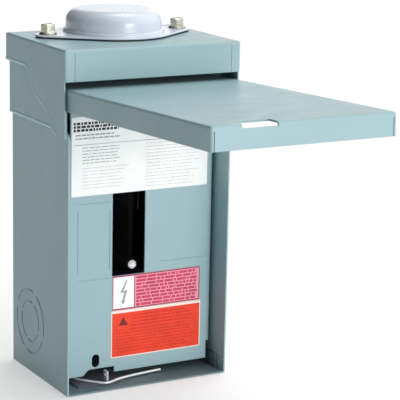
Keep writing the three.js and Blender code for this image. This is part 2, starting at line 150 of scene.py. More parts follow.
def obround_outline(cx, cy, radius, length):
    rise = length / 2 - radius
    return arc(cx, cy + rise, radius, 0, 180, 16) + arc(cx, cy - rise, radius, 180, 360, 16)


def pin_hole_cutter():
    """One long cutter for both holes of the hinge pins."""
    return prism("cutter", ring_outline(HINGE.y, HINGE.z, 2.3, 32), along_x(-70), 140)


def screw_hole_cutters(z, depth):
    """Cutters for the two screw holes beside the hub opening."""
    return [prism("cutter", ring_outline(x, HUB_Y, 2.4, 24), along_z(z), depth)
            for x in (-HUB_SCREW_X, HUB_SCREW_X)]


def bake_modifiers(piece):
    """Replaces the mesh with its modified form and drops the modifiers."""
    bpy.context.view_layer.update()
    graph = bpy.context.evaluated_depsgraph_get()
    mesh = bpy.data.meshes.new_from_object(piece.evaluated_get(graph))
    old = piece.data
    piece.modifiers.clear()
    piece.data = mesh
    bpy.data.meshes.remove(old)


def boolean(piece, tools, operation="DIFFERENCE"):
    """Cuts or joins the tools into the piece and deletes them."""
    for tool in tools:
        step = piece.modifiers.new("cut", "BOOLEAN")
        step.operation = operation
        step.solver = "EXACT"
        step.object = tool
    bake_modifiers(piece)
    for tool in tools:
        bpy.data.objects.remove(tool)


def bevel(piece, width, segments=2, angle=40):
    step = piece.modifiers.new("bevel", "BEVEL")
    step.width = width * MM
    step.segments = segments
    step.limit_method = "ANGLE"
    step.angle_limit = math.radians(angle)
    step.use_clamp_overlap = True
    return step


def smooth(piece, angle=32):
    """Smooth shading that keeps edges sharper than angle, with flat faces left flat."""
    for polygon in piece.data.polygons:
        polygon.use_smooth = True
    piece.data.set_sharp_from_angle(angle=math.radians(angle))
    step = piece.modifiers.new("normals", "WEIGHTED_NORMAL")
    step.keep_sharp = True
    step.weight = 80


def bent_sheet(name, outlines, bend):
    """The outer surface of sheet metal, from the outline of each face, with its corners bent round."""
    points = []
    faces = []
    for outline in outlines:
        faces.append(list(range(len(points), len(points) + len(outline))))
        points.extend(outline)
    piece = from_faces(name, points, faces)
    work = bmesh.new()
    work.from_mesh(piece.data)
    bmesh.ops.remove_doubles(work, verts=work.verts, dist=1e-6)
    bmesh.ops.recalc_face_normals(work, faces=work.faces)
    work.to_mesh(piece.data)
    work.free()
    bevel(piece, bend, 5)
    bake_modifiers(piece)
    return piece


def thicken(piece, inwards_towards):
    """Gives the sheet its thickness on the side that faces the given point."""
    mesh = piece.data
    biggest = max(mesh.polygons, key=lambda p: p.area)
    towards = Vector(inwards_towards) * MM - biggest.center
    step = piece.modifiers.new("thickness", "SOLIDIFY")
    step.thickness = SHEET * MM
    step.use_even_offset = True
    step.offset = 1.0 if biggest.normal.dot(towards) > 0 else -1.0
    bake_modifiers(piece)
    face_out(piece)


def lathe(name, profile, segments=96, centre=(0.0, 0.0), base=0.0):
    """A closed turned body about z. The profile is (radius, height) and starts and ends on the axis,
    or closes on itself when no point is on the axis."""
    points = []
    rows = []
    for radius, height in profile:
        if radius < 1e-6:
            rows.append([len(points)] * segments)
            points.append((centre[0], centre[1], base + height))
            continue
        rows.append(list(range(len(points), len(points) + segments)))
        for k in range(segments):
            turn = 2 * math.pi * k / segments
            points.append((centre[0] + radius * math.cos(turn), centre[1] + radius * math.sin(turn),
                           base + height))
    closed = profile[0][0] > 1e-6
    pairs = zip(rows, rows[1:] + [rows[0]]) if closed else zip(rows, rows[1:])
    faces = []
    for lower, upper in pairs:
        for k in range(segments):
            ring = [lower[k], lower[(k + 1) % segments], upper[(k + 1) % segments], upper[k]]
            face = list(dict.fromkeys(ring))
            if len(face) > 2:
                faces.append(face)
    piece = from_faces(name, points, faces)
    face_out(piece)
    return piece


def transform(piece, matrix):
    piece.data.transform(matrix)
    piece.data.update()


def swing_open(piece):
    """Takes a piece drawn on the closed door to its place on the open one."""
    pivot = Matrix.Translation(HINGE * MM)
    transform(piece, pivot @ Matrix.Rotation(-OPEN_ANGLE, 4, "X") @ pivot.inverted())


def merge(name, pieces):
    """Joins several objects into one, keeping each as its own closed body."""
    work = bmesh.new()
    for piece in pieces:
        work.from_mesh(piece.data)
        bpy.data.objects.remove(piece)
    mesh = bpy.data.meshes.new(name)
    work.to_mesh(mesh)
    work.free()
    return new_object(name, mesh)


# ---------------------------------------------------------------- material helpers
class Nodes:
    """A short way to build one material's node tree."""

    def __init__(self, name):
        self.material = bpy.data.materials.new(name)
        self.material.use_nodes = True
        self.tree = self.material.node_tree
        self.shader = self.tree.nodes["Principled BSDF"]
        self.place = self.add("ShaderNodeTexCoord").outputs["Object"]

    def add(self, kind, **settings):
        node = self.tree.nodes.new(kind)
        for key, value in settings.items():
            setattr(node, key, value)
        return node

    def link(self, source, target):
        self.tree.links.new(source, target)

    def set(self, **sockets):
        for key, value in sockets.items():
            self.shader.inputs[key.replace("_", " ")].default_value = value

    def noise(self, scale, detail=3.0, roughness=0.5, stretch=(1, 1, 1)):
        node = self.add("ShaderNodeTexNoise")
        node.inputs["Scale"].default_value = scale
        node.inputs["Detail"].default_value = detail
        node.inputs["Roughness"].default_value = roughness
        mapping = self.add("ShaderNodeMapping")
        mapping.inputs["Scale"].default_value = stretch
        self.link(self.place, mapping.inputs["Vector"])
        self.link(mapping.outputs["Vector"], node.inputs["Vector"])
        return node.outputs["Fac"]

    def ramp(self, source, stops):
        node = self.add("ShaderNodeValToRGB")
        while len(node.color_ramp.elements) < len(stops):
            node.color_ramp.elements.new(0.5)
        for element, (position, colour) in zip(node.color_ramp.elements, stops):
            element.position = position
            element.color = (*colour, 1.0)
        self.link(source, node.inputs["Fac"])
        return node.outputs["Color"]

    def colour(self, source, stops):
        self.link(self.ramp(source, stops), self.shader.inputs["Base Color"])

    def roughness(self, source, low, high):
        node = self.add("ShaderNodeMapRange")
        node.inputs["From Min"].default_value = 0.3
        node.inputs["From Max"].default_value = 0.7
        node.inputs["To Min"].default_value = low
        node.inputs["To Max"].default_value = high
        self.link(source, node.inputs["Value"])
        self.link(node.outputs["Result"], self.shader.inputs["Roughness"])

    def bump(self, layers):
        """Stacks bump layers of (source, strength, distance in millimetres)."""
        normal = None
        for source, strength, distance in layers:
            node = self.add("ShaderNodeBump")
            node.inputs["Strength"].default_value = strength
            node.inputs["Distance"].default_value = distance * MM
            self.link(source, node.inputs["Height"])
            if normal:
                self.link(normal, node.inputs["Normal"])
            normal = node.outputs["Normal"]
        self.link(normal, self.shader.inputs["Normal"])


def shade(colour, factor):
    return tuple(min(1.0, c * factor) for c in colour)


def enamel(name, colour):
    """Baked grey enamel on steel: fine orange peel, faint waviness and slight tone drift."""
    nodes = Nodes(name)
    drift = nodes.noise(14, detail=4)
    nodes.colour(drift, [(0.25, shade(colour, 0.94)), (0.75, shade(colour, 1.04))])
    nodes.roughness(nodes.noise(60, detail=5), 0.36, 0.48)
    peel = nodes.noise(900, detail=2)
    wave = nodes.noise(28, detail=1)
    nodes.bump([(wave, 0.25, 0.5), (peel, 0.22, 0.06)])
    nodes.set(Specular_IOR_Level=0.35, Coat_Weight=0.05, Coat_Roughness=0.25)
    return nodes.material


def drawn_cap_paint():
    nodes = Nodes("cap_paint")
    colour = (0.56, 0.61, 0.69)
    nodes.colour(nodes.noise(22, detail=4), [(0.3, shade(colour, 0.97)), (0.7, shade(colour, 1.03))])
    nodes.roughness(nodes.noise(80, detail=4), 0.27, 0.35)
    nodes.bump([(nodes.noise(30, detail=1), 0.1, 0.3), (nodes.noise(900, detail=2), 0.12, 0.02)])
    nodes.set(Coat_Weight=0.25, Coat_Roughness=0.18)
    return nodes.material


def plated(name, colour, rough, grain=(1, 1, 1), scale=180, metallic=1.0, glow=0.0):
    """Plated or drawn metal with a fine grain in its gloss. A glow is painted light: it makes a piece in
    shadow read white.
    """
    nodes = Nodes(name)
    spangle = nodes.noise(scale, detail=4, stretch=grain)
    nodes.colour(spangle, [(0.3, shade(colour, 0.82)), (0.7, shade(colour, 1.08))])
    nodes.roughness(nodes.noise(scale * 2, detail=3, stretch=grain), *rough)
    nodes.bump([(nodes.noise(scale * 4, detail=2, stretch=grain), 0.2, 0.05)])
    nodes.set(Metallic=metallic, Emission_Color=(1, 1, 1, 1), Emission_Strength=glow)
    return nodes.material


def moulded(name, colour, rough=(0.45, 0.62)):
    nodes = Nodes(name)
    nodes.colour(nodes.noise(40, detail=4), [(0.3, shade(colour, 0.8)), (0.7, shade(colour, 1.25))])
    nodes.roughness(nodes.noise(120, detail=4), *rough)
    nodes.bump([(nodes.noise(1400, detail=2), 0.35, 0.05)])
    nodes.set(Specular_IOR_Level=0.4)
    return nodes.material


def rubber():
    nodes = Nodes("gasket_rubber")
    nodes.colour(nodes.noise(90, detail=4), [(0.3, (0.012, 0.012, 0.014)), (0.7, (0.03, 0.03, 0.033))])
    nodes.roughness(nodes.noise(300, detail=3), 0.8, 0.95)
    nodes.bump([(nodes.noise(1800, detail=3), 0.5, 0.08)])
    return nodes.material


def bracket_paint_painted_shade():
    """Painted shade: dark on the foot plate, where shade falls under the dead front's notch, and grey on the
    upright ear.
    """
    nodes = Nodes("bracket_paint_painted_shade")
    # Painted shade: the colour darkens towards the foot, by height.
    split = nodes.add("ShaderNodeSeparateXYZ")
    nodes.link(nodes.place, split.inputs["Vector"])
    height = nodes.add("ShaderNodeMapRange")
    height.inputs["From Min"].default_value = (FLOOR + 1.5) * MM
    height.inputs["From Max"].default_value = (FLOOR + 4.5) * MM
    nodes.link(split.outputs["Z"], height.inputs["Value"])
    nodes.colour(height.outputs["Result"], [(0.0, (0.035, 0.038, 0.048)), (1.0, (0.48, 0.47, 0.56))])
    nodes.roughness(nodes.noise(120, detail=4), 0.4, 0.6)
    nodes.bump([(nodes.noise(900, detail=2), 0.2, 0.05)])
    return nodes.material


def printed(name, colour, spread=0.03):
    """Coated label stock: paper tooth under a thin film."""
    nodes = Nodes(name)
    low = shade(colour, 1 - spread)
    nodes.colour(nodes.noise(110, detail=5), [(0.3, low), (0.7, shade(colour, 1 + spread))])
    nodes.roughness(nodes.noise(200, detail=3), 0.38, 0.52)
    nodes.bump([(nodes.noise(1500, detail=3), 0.15, 0.03)])
    nodes.set(Specular_IOR_Level=0.22)
    return nodes.material


ENAMEL_COLOUR = (0.287, 0.424, 0.455)
ENAMEL = enamel("grey_enamel", ENAMEL_COLOUR)
# Painted shade: a darker copy of the enamel for the rails inside the box, where shade falls.
ENAMEL_SHADED_INSIDE = enamel("grey_enamel_inside_painted_shade", shade(ENAMEL_COLOUR, 0.82))
# Painted highlight: a lighter copy of the enamel for the beads, so that they read as a light line whatever
# the light.
ENAMEL_HIGHLIGHT = enamel("grey_enamel_painted_highlight", shade(ENAMEL_COLOUR, 1.3))
# Painted shade: a much darker copy of the enamel for the floor, which lies in the shade of the open door.
ENAMEL_FLOOR_SHADE = enamel("grey_enamel_floor_painted_shade", shade(ENAMEL_COLOUR, 0.46))
CAP_PAINT = drawn_cap_paint()
ZINC = plated("zinc_plate", (0.46, 0.465, 0.38), rough=(0.14, 0.3))
# Painted light: the glow lifts the front screw out of the shade in the breaker opening.
NICKEL_GLOWING = plated("nickel_plate_painted_glow", (0.95, 0.95, 0.93), rough=(0.45, 0.6), metallic=0.2, glow=0.5)
BRIGHT = plated("bright_steel", (0.83, 0.84, 0.86), rough=(0.16, 0.3))
WIRE = plated("wire_steel", (0.93, 0.94, 0.97), rough=(0.4, 0.55), metallic=0.35)
TIN = plated("tin_plate", (0.62, 0.63, 0.65), rough=(0.3, 0.5), scale=90)
ALUMINIUM = plated("aluminium", (0.58, 0.59, 0.61), rough=(0.35, 0.5), grain=(1, 1, 0.08))
PLASTIC = moulded("black_plastic", (0.016, 0.018, 0.021))
RUBBER = rubber()
BRACKET_PAINT_SHADED = bracket_paint_painted_shade()


def finish_piece(piece, body, slot, material, *nodes):
    """Gives a new piece its material and body, and hides the CAD nodes that it stands for. The slot is not
    used.
    """
    piece.data.materials.clear()
    piece.data.materials.append(material)
    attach(piece, body)
    if nodes:
        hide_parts(*nodes)
    return piece


# ---------------------------------------------------------------- camera
def aim_camera():
    """A long lens from the left and above, slightly rolled."""
    azimuth, elevation, roll = -0.5132, 0.2256, 0.0215
    place = Vector((-0.5300, -1.10235, 0.39353 + FLOOR * MM))
    back = Vector((math.sin(azimuth) * math.cos(elevation), -math.cos(azimuth) * math.cos(elevation),
                   math.sin(elevation)))
    right = (-back).cross(Vector((0, 0, 1))).normalized()
    up = right.cross(-back)
    rolled_right = math.cos(roll) * right + math.sin(roll) * up
    rolled_up = math.cos(roll) * up - math.sin(roll) * right
    data = bpy.data.cameras.new("camera")
    data.sensor_width = 36.0
    data.lens = 155.19
    data.clip_start = 0.05
    data.clip_end = 60.0
    camera = bpy.data.objects.new("camera", data)
    bpy.context.scene.collection.objects.link(camera)
    pose = Matrix((rolled_right, rolled_up, back)).transposed().to_4x4()
    pose.translation = place
    camera.matrix_world = pose
    bpy.context.scene.camera = camera


# ---------------------------------------------------------------- box
def side_cutter():
    """What lies in front of and above the side walls: the clearance for the door."""
    lobe = 5.2           # radius of the wall's ear round the pin
    shelf = 4.4          # height of the wall's upper edge above the pin
    step_low = HINGE.z - 20.4
    fillet = 2.4
    upper_front = -64.5  # front edge of the wall above the shelf
    start = 180 - math.degrees(math.asin(shelf / lobe))
    wall_front = BODY_LOW.y
    rim = arc(HINGE.y, HINGE.z, lobe, 180, start, 14)
    step = arc(wall_front + fillet, step_low, fillet, 180, 90, 8)
    outline = [(wall_front - 5, step_low), *step, (HINGE.y - lobe, HINGE.z - 16), *rim,
               (upper_front, HINGE.z + shelf), (upper_front, BODY_HIGH.z + 5),
               (wall_front - 5, BODY_HIGH.z + 5)]
    return prism("cutter", outline, along_x(BODY_LOW.x - 2), BODY_HIGH.x - BODY_LOW.x + 4)


def wall_section():
    """Plan outline of the bent sheet: the back and two sides with plain front edges."""
    half = SHEET / 2
    side = BODY_HIGH.x - half
    bend_radius = BEND - half
    path = [(side, BODY_LOW.y), (side, BODY_LOW.y + 2)]
    path += arc(side - bend_radius, -half - bend_radius, bend_radius, 0, 90, 8)
    path += [(-x, y) for x, y in reversed(path)]
    return offset_path(path, half)


def offset_path(path, half):
    """The closed outline of a strip of the given half width along an open path."""
    left, right = [], []
    for i, (x, y) in enumerate(path):
        ahead = Vector(path[min(i + 1, len(path) - 1)]) - Vector(path[max(i - 1, 0)])
        normal = Vector((-ahead.y, ahead.x)).normalized() * half
        left.append((x + normal.x, y + normal.y))
        right.append((x - normal.x, y - normal.y))
    return left + right[::-1]


def ring_groove(name, place_for, radius, width, depth, tabs=4, gap=14.0):
    """A pressed ring cut as arcs, with plain tabs left between them."""
    arcs = []
    for k in range(tabs):
        start = 360.0 * k / tabs + gap / 2 + 20
        end = 360.0 * (k + 1) / tabs - gap / 2 + 20
        outer = arc(0, 0, radius + width / 2, start, end, 18)
        inner = arc(0, 0, radius - width / 2, end, start, 18)
        arcs.append(prism(name, outer + inner, place_for, depth))
    return merge(name, arcs)


def make_body():
    walls = prism("body_shell", wall_section(), along_z(BODY_LOW.z), BODY_HIGH.z - BODY_LOW.z)
    bevel(walls, 0.3, 2, 60)
    bake_modifiers(walls)
    wall_slots = [prism("cutter", obround_outline(x, FLOOR + z, r, r * 4), along_y(-3), 6)
                  for x, z, r in ((0, 186, 3.4), (-38, 24, 2.8), (38, 24, 2.8))]
    rings = []
    depth = 0.45
    clear = 1.0          # how far the cutter stands off the wall
    for side in (-1, 1):
        outer_face = side * BODY_HIGH.x
        start = outer_face - (depth if side > 0 else clear)
        for radius in KNOCKOUT_RADII:
            place = lambda a, b, d, x=start: (x + d, KNOCKOUT_Y + a, KNOCKOUT_Z + b)
            rings.append(ring_groove("cutter", place, radius, 1.3, depth + clear))
    boolean(walls, [side_cutter(), pin_hole_cutter(), *wall_slots, *rings])
    smooth(walls)
    finish_piece(walls, "root", "grey_enamel", ENAMEL, "enclosure_body")


def make_knockout_dimples():
    """Small pry dimples at the middle of each side knockout, pressed outwards a hair."""
    for side, name in ((-1, "left"), (1, "right")):
        profile = [(0, -0.4), (3.2, -0.4), (3.2, 0.0), (2.6, 0.16), (1.4, 0.26), (0, 0.3)]
        dimple = lathe(f"knockout_dimple_{name}", profile, 32)
        turn = Matrix.Rotation(side * math.pi / 2, 4, "Y")
        centre = Vector((side * (BODY_HIGH.x - 0.31), KNOCKOUT_Y, KNOCKOUT_Z)) * MM
        transform(dimple, Matrix.Translation(centre) @ turn)
        smooth(dimple, 50)
        finish_piece(dimple, "root", "grey_enamel", ENAMEL)


# ---------------------------------------------------------------- hood
def skirt_curve():
    """The swept lower edge of a side skirt, from the back to the front, as (y, z)."""
    drawn_top = 237      # the hood's top in the heights below

    def rise(z):
        return HOOD_HIGH.z - (drawn_top - z)

    points = [(0, rise(218.2)), (-30, rise(218))]
    points += quadratic((-30, 218), (-39.5, 217.5), (-42, 209.5), rise)
    points += quadratic((-42, 209.5), (-44.5, 202.5), (-52, 199.5), rise)
    points += quadratic((-64, 194.8), (-70.5, 192), (-72.8, 186.5), rise)
    points += quadratic((-72.8, 186.5), (-75.8, 179.6), (-84, 179), rise)
    points.append((HOOD_LOW.y, HOOD_LOW.z))
    return points


def quadratic(start, middle, end, rise, steps=8):
    out = []
    for i in range(1, steps + 1):
        t = i / steps
        y, z = ((1 - t) ** 2 * a + 2 * t * (1 - t) * b + t * t * c for a, b, c in zip(start, middle, end))
        out.append((y, rise(z)))
    return out


def make_hood():
    half = HOOD_HIGH.x - BEAD_RISE
    front, rear, top = HOOD_LOW.y, HOOD_HIGH.y, HOOD_HIGH.z
    apron_low = top - 21
    roof = [(-half, rear, top), (half, rear, top), (half, front, top), (-half, front, top)]
    apron = [(-half, front, top), (half, front, top), (half, front, apron_low), (-half, front, apron_low)]
    skirts = [[(side, rear, top), *((side, y, z) for y, z in skirt_curve()), (side, front, apron_low),
               (side, front, top)] for side in (-half, half)]
    shell = bent_sheet("hood_shell", [roof, apron, *skirts], bend=1.6)
    thicken(shell, (0, -40, top - 60))
    hub_hole = prism("cutter", ring_outline(0, HUB_Y, HUB_RADIUS, 72), along_z(top - 4), 8)
    seams = [block("cutter", (x - 0.18, front - 1, apron_low - 1), (x + 0.18, front + 0.3, top - 2.2))
             for x in (-58.6, 58.6)]
    bevel(shell, 0.5, 3)
    bake_modifiers(shell)
    boolean(shell, [hub_hole, *screw_hole_cutters(top - 4, 8), *seams])
    smooth(shell)
    finish_piece(shell, "root", "grey_enamel", ENAMEL, "hood")
    make_skirt_beads()


def make_skirt_beads():
    """A bead along the edge of each side skirt and of the side flange under it."""
    flange_low, flange_high = node_box("top_end_wall")
    edges = {
        "skirt_bead": (HOOD_HIGH.x, inset_path(skirt_curve(), 1.3)),
        "flange_bead": (flange_high.x + BEAD_RISE, [(-0.5, flange_low.z + 1), (-76, flange_low.z + 1)]),
    }
    for name, (proud, path) in edges.items():
        for side, hand in ((-1, "left"), (1, "right")):
            route = [(side * (proud - BEAD_RADIUS), y, z) for y, z in path]
            bead = sweep(f"{name}_{hand}", route, BEAD_RADIUS)
            flat = side * (proud - BEAD_RISE - SHEET)
            keep = block("cutter", (min(flat, side * 70), -100, FLOOR), (max(flat, side * 70), 2, 130))
            boolean(bead, [keep], "INTERSECT")
            bead.name = f"{name}_{hand}"
            smooth(bead, 60)
            # The beads take the lighter enamel as a painted highlight.
            finish_piece(bead, "root", "grey_enamel", ENAMEL_HIGHLIGHT)


def inset_path(path, distance):
    """An open (y, z) path moved sideways towards the hood's front and top."""
    moved = []
    for i, (y, z) in enumerate(path[:-1]):
        ahead = Vector(path[i + 1]) - Vector(path[max(i - 1, 0)])
        normal = Vector((ahead.y, -ahead.x)).normalized()
        moved.append((y + normal.x * distance, z + normal.y * distance))
    return moved


def sweep(name, route, radius, around=16):
    """A round closed rod along a route of points in one x plane."""
    points = []
    for i, centre in enumerate(route):
        ahead = Vector(route[min(i + 1, len(route) - 1)]) - Vector(route[max(i - 1, 0)])
        side = Vector((0, ahead.z, -ahead.y)).normalized()
        for k in range(around):
            turn = 2 * math.pi * k / around
            across = Vector((radius * math.sin(turn), 0, 0))
            points.append(tuple(Vector(centre) + side * (radius * math.cos(turn)) + across))
    rings = len(route)
    faces = [[i * around + k, i * around + (k + 1) % around, (i + 1) * around + (k + 1) % around,
              (i + 1) * around + k] for i in range(rings - 1) for k in range(around)]
    faces += [list(range(around)), list(range((rings - 1) * around, rings * around))]
    rod = from_faces(name, points, faces)
    face_out(rod)
    return rod


# ---------------------------------------------------------------- hub cap
def rhombus_outline():
    """A big round middle drawn out to a small round lobe at each screw, cut straight at the back."""
    middle, lobe, rear = 39.5, 9.0, -1.5
    lean = math.degrees(math.asin((middle - lobe) / HUB_SCREW_X))
    outline = arc(0, HUB_Y, middle, -90 - lean, -90 + lean, 40)
    outline += arc(HUB_SCREW_X, HUB_Y, lobe, -90 + lean, 90 - lean, 18)
    outline += [(HUB_SCREW_X * 0.45, rear), (-HUB_SCREW_X * 0.45, rear)]
    outline += arc(-HUB_SCREW_X, HUB_Y, lobe, 90 + lean, 270 - lean, 18)
    return outline


def make_cap():
    base = CAP_LOW.z
    crown = CAP_HIGH.z - base
    foot = 35.1          # radius of the dome just above its flange
    rounding = 9.0       # outside radius of the dome's upper edge
    shoulder = 24.3      # distance of that edge's centre from the axis
    taper = 1.8          # how far the dome draws in above its foot
    wall = 1.4
    edge_z = crown - 0.3 - rounding
    plate = prism("cap_flange", rhombus_outline(), along_z(base), SHEET)
    bevel(plate, 0.45, 3)
    bake_modifiers(plate)
    outer = [(0, -0.02), (foot + 0.1, -0.02), (foot + 0.3, SHEET), (foot, SHEET + 0.25)]
    outer += [(foot - taper * (1 - math.cos(a)), SHEET + 0.25 + 2.2 * math.sin(a))
              for a in (math.pi / 2 * i / 6 for i in range(1, 7))]
    outer += arc(shoulder, edge_z, rounding, 0, 90, 14)
    outer += [(16, crown - 0.12), (8, crown - 0.02), (4, crown), (0, crown)]
    dome = lathe("cap_dome", outer, 128, (0, HUB_Y), base)
    inner = [(0, -2), (31.6, -2), (31.9, 3)] + arc(shoulder, edge_z, rounding - wall, 0, 90, 12)
    inner += [(0, crown - wall)]
    hollow = lathe("cutter", inner, 96, (0, HUB_Y), base)
    boolean(plate, [dome], "UNION")
    boolean(plate, [hollow, *screw_hole_cutters(base - 2, 6)])
    plate.name = "hub_cap_shell"
    smooth(plate, 38)
    finish_piece(plate, "root", "cast_grey_paint", CAP_PAINT, "hub_closing_cap")


def make_cap_screws():
    for node in ("cap_screw_left", "cap_screw_right"):
        low, high = node_box(node)
        centre = ((low.x + high.x) / 2, (low.y + high.y) / 2)
        seat = CAP_LOW.z + SHEET + 0.1
        head = high.z - seat
        flats = 9.0
        corners = ring_outline(*centre, flats / math.sqrt(3), 6)
        hexagon = prism("hex", corners, along_z(seat + 0.3), head - 0.3)
        chamfer = lathe("cutter", [(0, -1), (flats * 0.62, -1), (flats * 0.62, head - 1.1),
                                   (flats * 0.44, head), (0, head)], 48, centre, seat)
        boolean(hexagon, [chamfer], "INTERSECT")
        dish = lathe("cutter", [(0, head - 0.9), (flats * 0.26, head - 0.9), (flats * 0.34, head + 0.2),
                                (0, head + 0.2)], 40, centre, seat)
        washer = lathe("washer", [(0, -6), (2.0, -6), (2.0, 0), (6.05, 0), (6.1, 0.35), (5.9, 0.75),
                                  (5.2, 1.35), (0, 1.4)], 48, centre, seat)
        boolean(hexagon, [dish])
        boolean(hexagon, [washer], "UNION")
        hexagon.name = f"{node}_head"
        smooth(hexagon, 30)
        finish_piece(hexagon, "root", "zinc_plate", ZINC, node)


# ---------------------------------------------------------------- door
def make_door():
    """The door is drawn closed and swung open afterwards."""
    half = DOOR_HIGH.x
    face = HINGE.y - 11.7                 # outer face of the closed door
    low = HINGE.z - 201.2
    high = HINGE.z + 18.5                 # top of the tongue between the side flanges
    shoulder = HINGE.z + 9                # top of the side flanges
    rear = face + 14.7
    tongue = BODY_HIGH.x - SHEET + 0.4    # half the tongue's width
    lobe = arc(HINGE.y, HINGE.z, 6.5, -62, 90, 14)
    flange = [(face, low), (rear, low), (rear, HINGE.z - 9), *lobe, (HINGE.y, shoulder), (face, shoulder)]
    panel = [(-half, face, low), (half, face, low), (half, face, shoulder), (tongue, face, shoulder),
             (tongue, face, high), (-tongue, face, high), (-tongue, face, shoulder), (-half, face, shoulder)]
    lower = [(-half, face, low), (half, face, low), (half, rear, low), (-half, rear, low)]
    sides = [[(side, y, z) for y, z in flange] for side in (-half, half)]
    shell = bent_sheet("door_shell", [panel, lower, *sides], bend=1.7)
    thicken(shell, (0, face + 40, HINGE.z - 90))
    # narrow open seams at the lower corners
    slits = [block("cutter", (min(a, b), face + 3.1, low - 1), (max(a, b), rear + 1, low + SHEET + 0.02))
             for a, b in ((half - 1.9, half - 2.5), (-half + 1.9, -half + 2.5))]
    seal_slot = block("cutter", (-42.8, face - 1, low - 1), (-18.9, face + 2.7, low + 10.5))
    boolean(shell, [*slits, seal_slot, pin_hole_cutter()])
    swing_open(shell)
    smooth(shell)
    finish_piece(shell, "door", "grey_enamel", ENAMEL, "door")


# ---------------------------------------------------------------- dead front
def make_dead_front():
    half, front, high = PLATE_HIGH.x, PLATE_LOW.y, PLATE_HIGH.z
    low = PLATE_LOW.z
    notch_low = FLOOR + 10.6
    relief = FLOOR + 19.5
    rear = PLATE_HIGH.y
    inner = half - 2.6
    hinge_notch, notch_left, notch_right = FLOOR + 174, -51.6, 54.2
    # the lower edge has a notch behind the bracket on the floor
    edge = [(-inner, low), (-41.3, low), (-38.3, notch_low - 1), (-36.3, notch_low), (-17.5, notch_low),
            (-17.5, low), (inner, low), (inner, relief), (half, relief), (half, hinge_notch),
            (notch_right, hinge_notch), (notch_right, high), (notch_left, high), (notch_left, hinge_notch),
            (-half, hinge_notch), (-half, relief), (-inner, relief)]
    panel = [(x, front, z) for x, z in edge]
    sides = [[(side, front, relief), (side, front, hinge_notch), (side, rear, hinge_notch),
              (side, rear, relief)] for side in (-half, half)]
    upper = [(notch_left, front, high), (notch_right, front, high), (notch_right, rear, high),
             (notch_left, rear, high)]
    plate = bent_sheet("dead_front_shell", [panel, *sides, upper], bend=1.3)
    thicken(plate, (0, front + 40, FLOOR + 100))
    window = block("cutter", (WINDOW["left"], front - 2, WINDOW["low"]),
                   (WINDOW["right"], front + 4, WINDOW["high"]))
    hole = prism("cutter", obround_outline(-31.8, FLOOR + 16.3, 2.9, 9.4), along_y(front - 2), 6)
    boolean(plate, [window, hole, *twist_out_grooves(front)])
    smooth(plate)
    finish_piece(plate, "root", "grey_enamel", ENAMEL, "dead_front")


def twist_out_grooves(front):
    """Shallow cuts round the unopened breaker space, and the step line on the right."""
    depth = 0.35
    width = 0.5
    left, right, low, high = -46.2, -21.6, FLOOR + 74.5, FLOOR + 128.8
    spans = [((left, low), (right, low + width)), ((left, high - width), (right, high)),
             ((left, low + 6), (left + width, high - 6)), ((right - width, low + 6), (right, high - 6)),
             ((17.5, FLOOR + 82.0), (54.5, FLOOR + 82.0 + width))]
    return [block("cutter", (a[0], front - 1, a[1]), (b[0], front + depth, b[1])) for a, b in spans]


# ---------------------------------------------------------------- labels
LABEL_WHITE = printed("label_white", (0.84, 0.85, 0.84))
LABEL_PINK = printed("label_pink", (0.72, 0.30, 0.37))
LABEL_CRIMSON = printed("label_crimson", (0.54, 0.045, 0.11), 0.1)
LABEL_ORANGE = printed("label_orange", (0.75, 0.052, 0.020), 0.08)
LABEL_PALE = printed("label_pale", (0.90, 0.72, 0.66))
INK_BLACK = printed("ink_black", (0.02, 0.02, 0.022), 0.1)
INK_GREY = printed("ink_grey", (0.30, 0.31, 0.33), 0.1)
INK_PALE = printed("ink_pale", (0.62, 0.58, 0.60), 0.1)
INK_RED = printed("ink_red", (0.62, 0.03, 0.016), 0.1)
INK_BROWN = printed("ink_brown", (0.18, 0.015, 0.012), 0.1)
INK_PLUM = printed("ink_plum", (0.30, 0.02, 0.07), 0.1)
INK_ROOM = 0.06      # what a label's box leaves for ink in front of its sheet
INK = 0.05           # thickness of ink
PATCH = 0.03         # thickness of a panel or strip printed in one flat colour


def plate_xz(name, low, high, back, thick, corner):
    """A thin upright sheet with round corners, its back at y = back and its face towards the front."""
    (x0, z0), (x1, z1) = low, high
    outline = arc(x1 - corner, z1 - corner, corner, 0, 90, 6)
    outline += arc(x0 + corner, z1 - corner, corner, 90, 180, 6)
    outline += arc(x0 + corner, z0 + corner, corner, 180, 270, 6)
    outline += arc(x1 - corner, z0 + corner, corner, 270, 360, 6)
    return prism(name, outline, along_y(back - thick), thick)


def label_sheet(node, slot, material, corner=0.6):
    """One label's sheet. Returns the label's low and high corner and the y at which its ink begins."""
    low, high = node_box(node)
    face = low.y + INK_ROOM
    sheet = plate_xz(f"{node}_sheet", (low.x, low.z), (high.x, high.z), high.y, high.y - face, corner)
    finish_piece(sheet, "root", slot, material, node)
    return low, high, face


def print_marks(name, outlines, back, thick, material, slot):
    """Ink as thin raised shapes: one object holding every outline given."""
    marks = [prism("mark", outline, along_y(back - thick), thick) for outline in outlines]
    piece = merge(name, marks)
    finish_piece(piece, "root", slot, material)


def bar(x0, x1, z, height):
    return [(x0, z), (x1, z), (x1, z + height), (x0, z + height)]


def text_rows(x0, x1, z_top, z_low, pitch, height, fill=0.75, longest=9.0):
    """Greeked print: rows of dashes of seeded lengths, standing for lines of small type."""
    marks = []
    z = z_top - height
    while z > z_low:
        x = x0
        row_end = x0 + (x1 - x0) * (fill + (1 - fill) * random.random())
        while x < row_end:
            length = 1.2 + random.random() * longest
            marks.append(bar(x, min(x + length, row_end), z, height))
            x += length + 0.7
        z -= pitch
    return marks


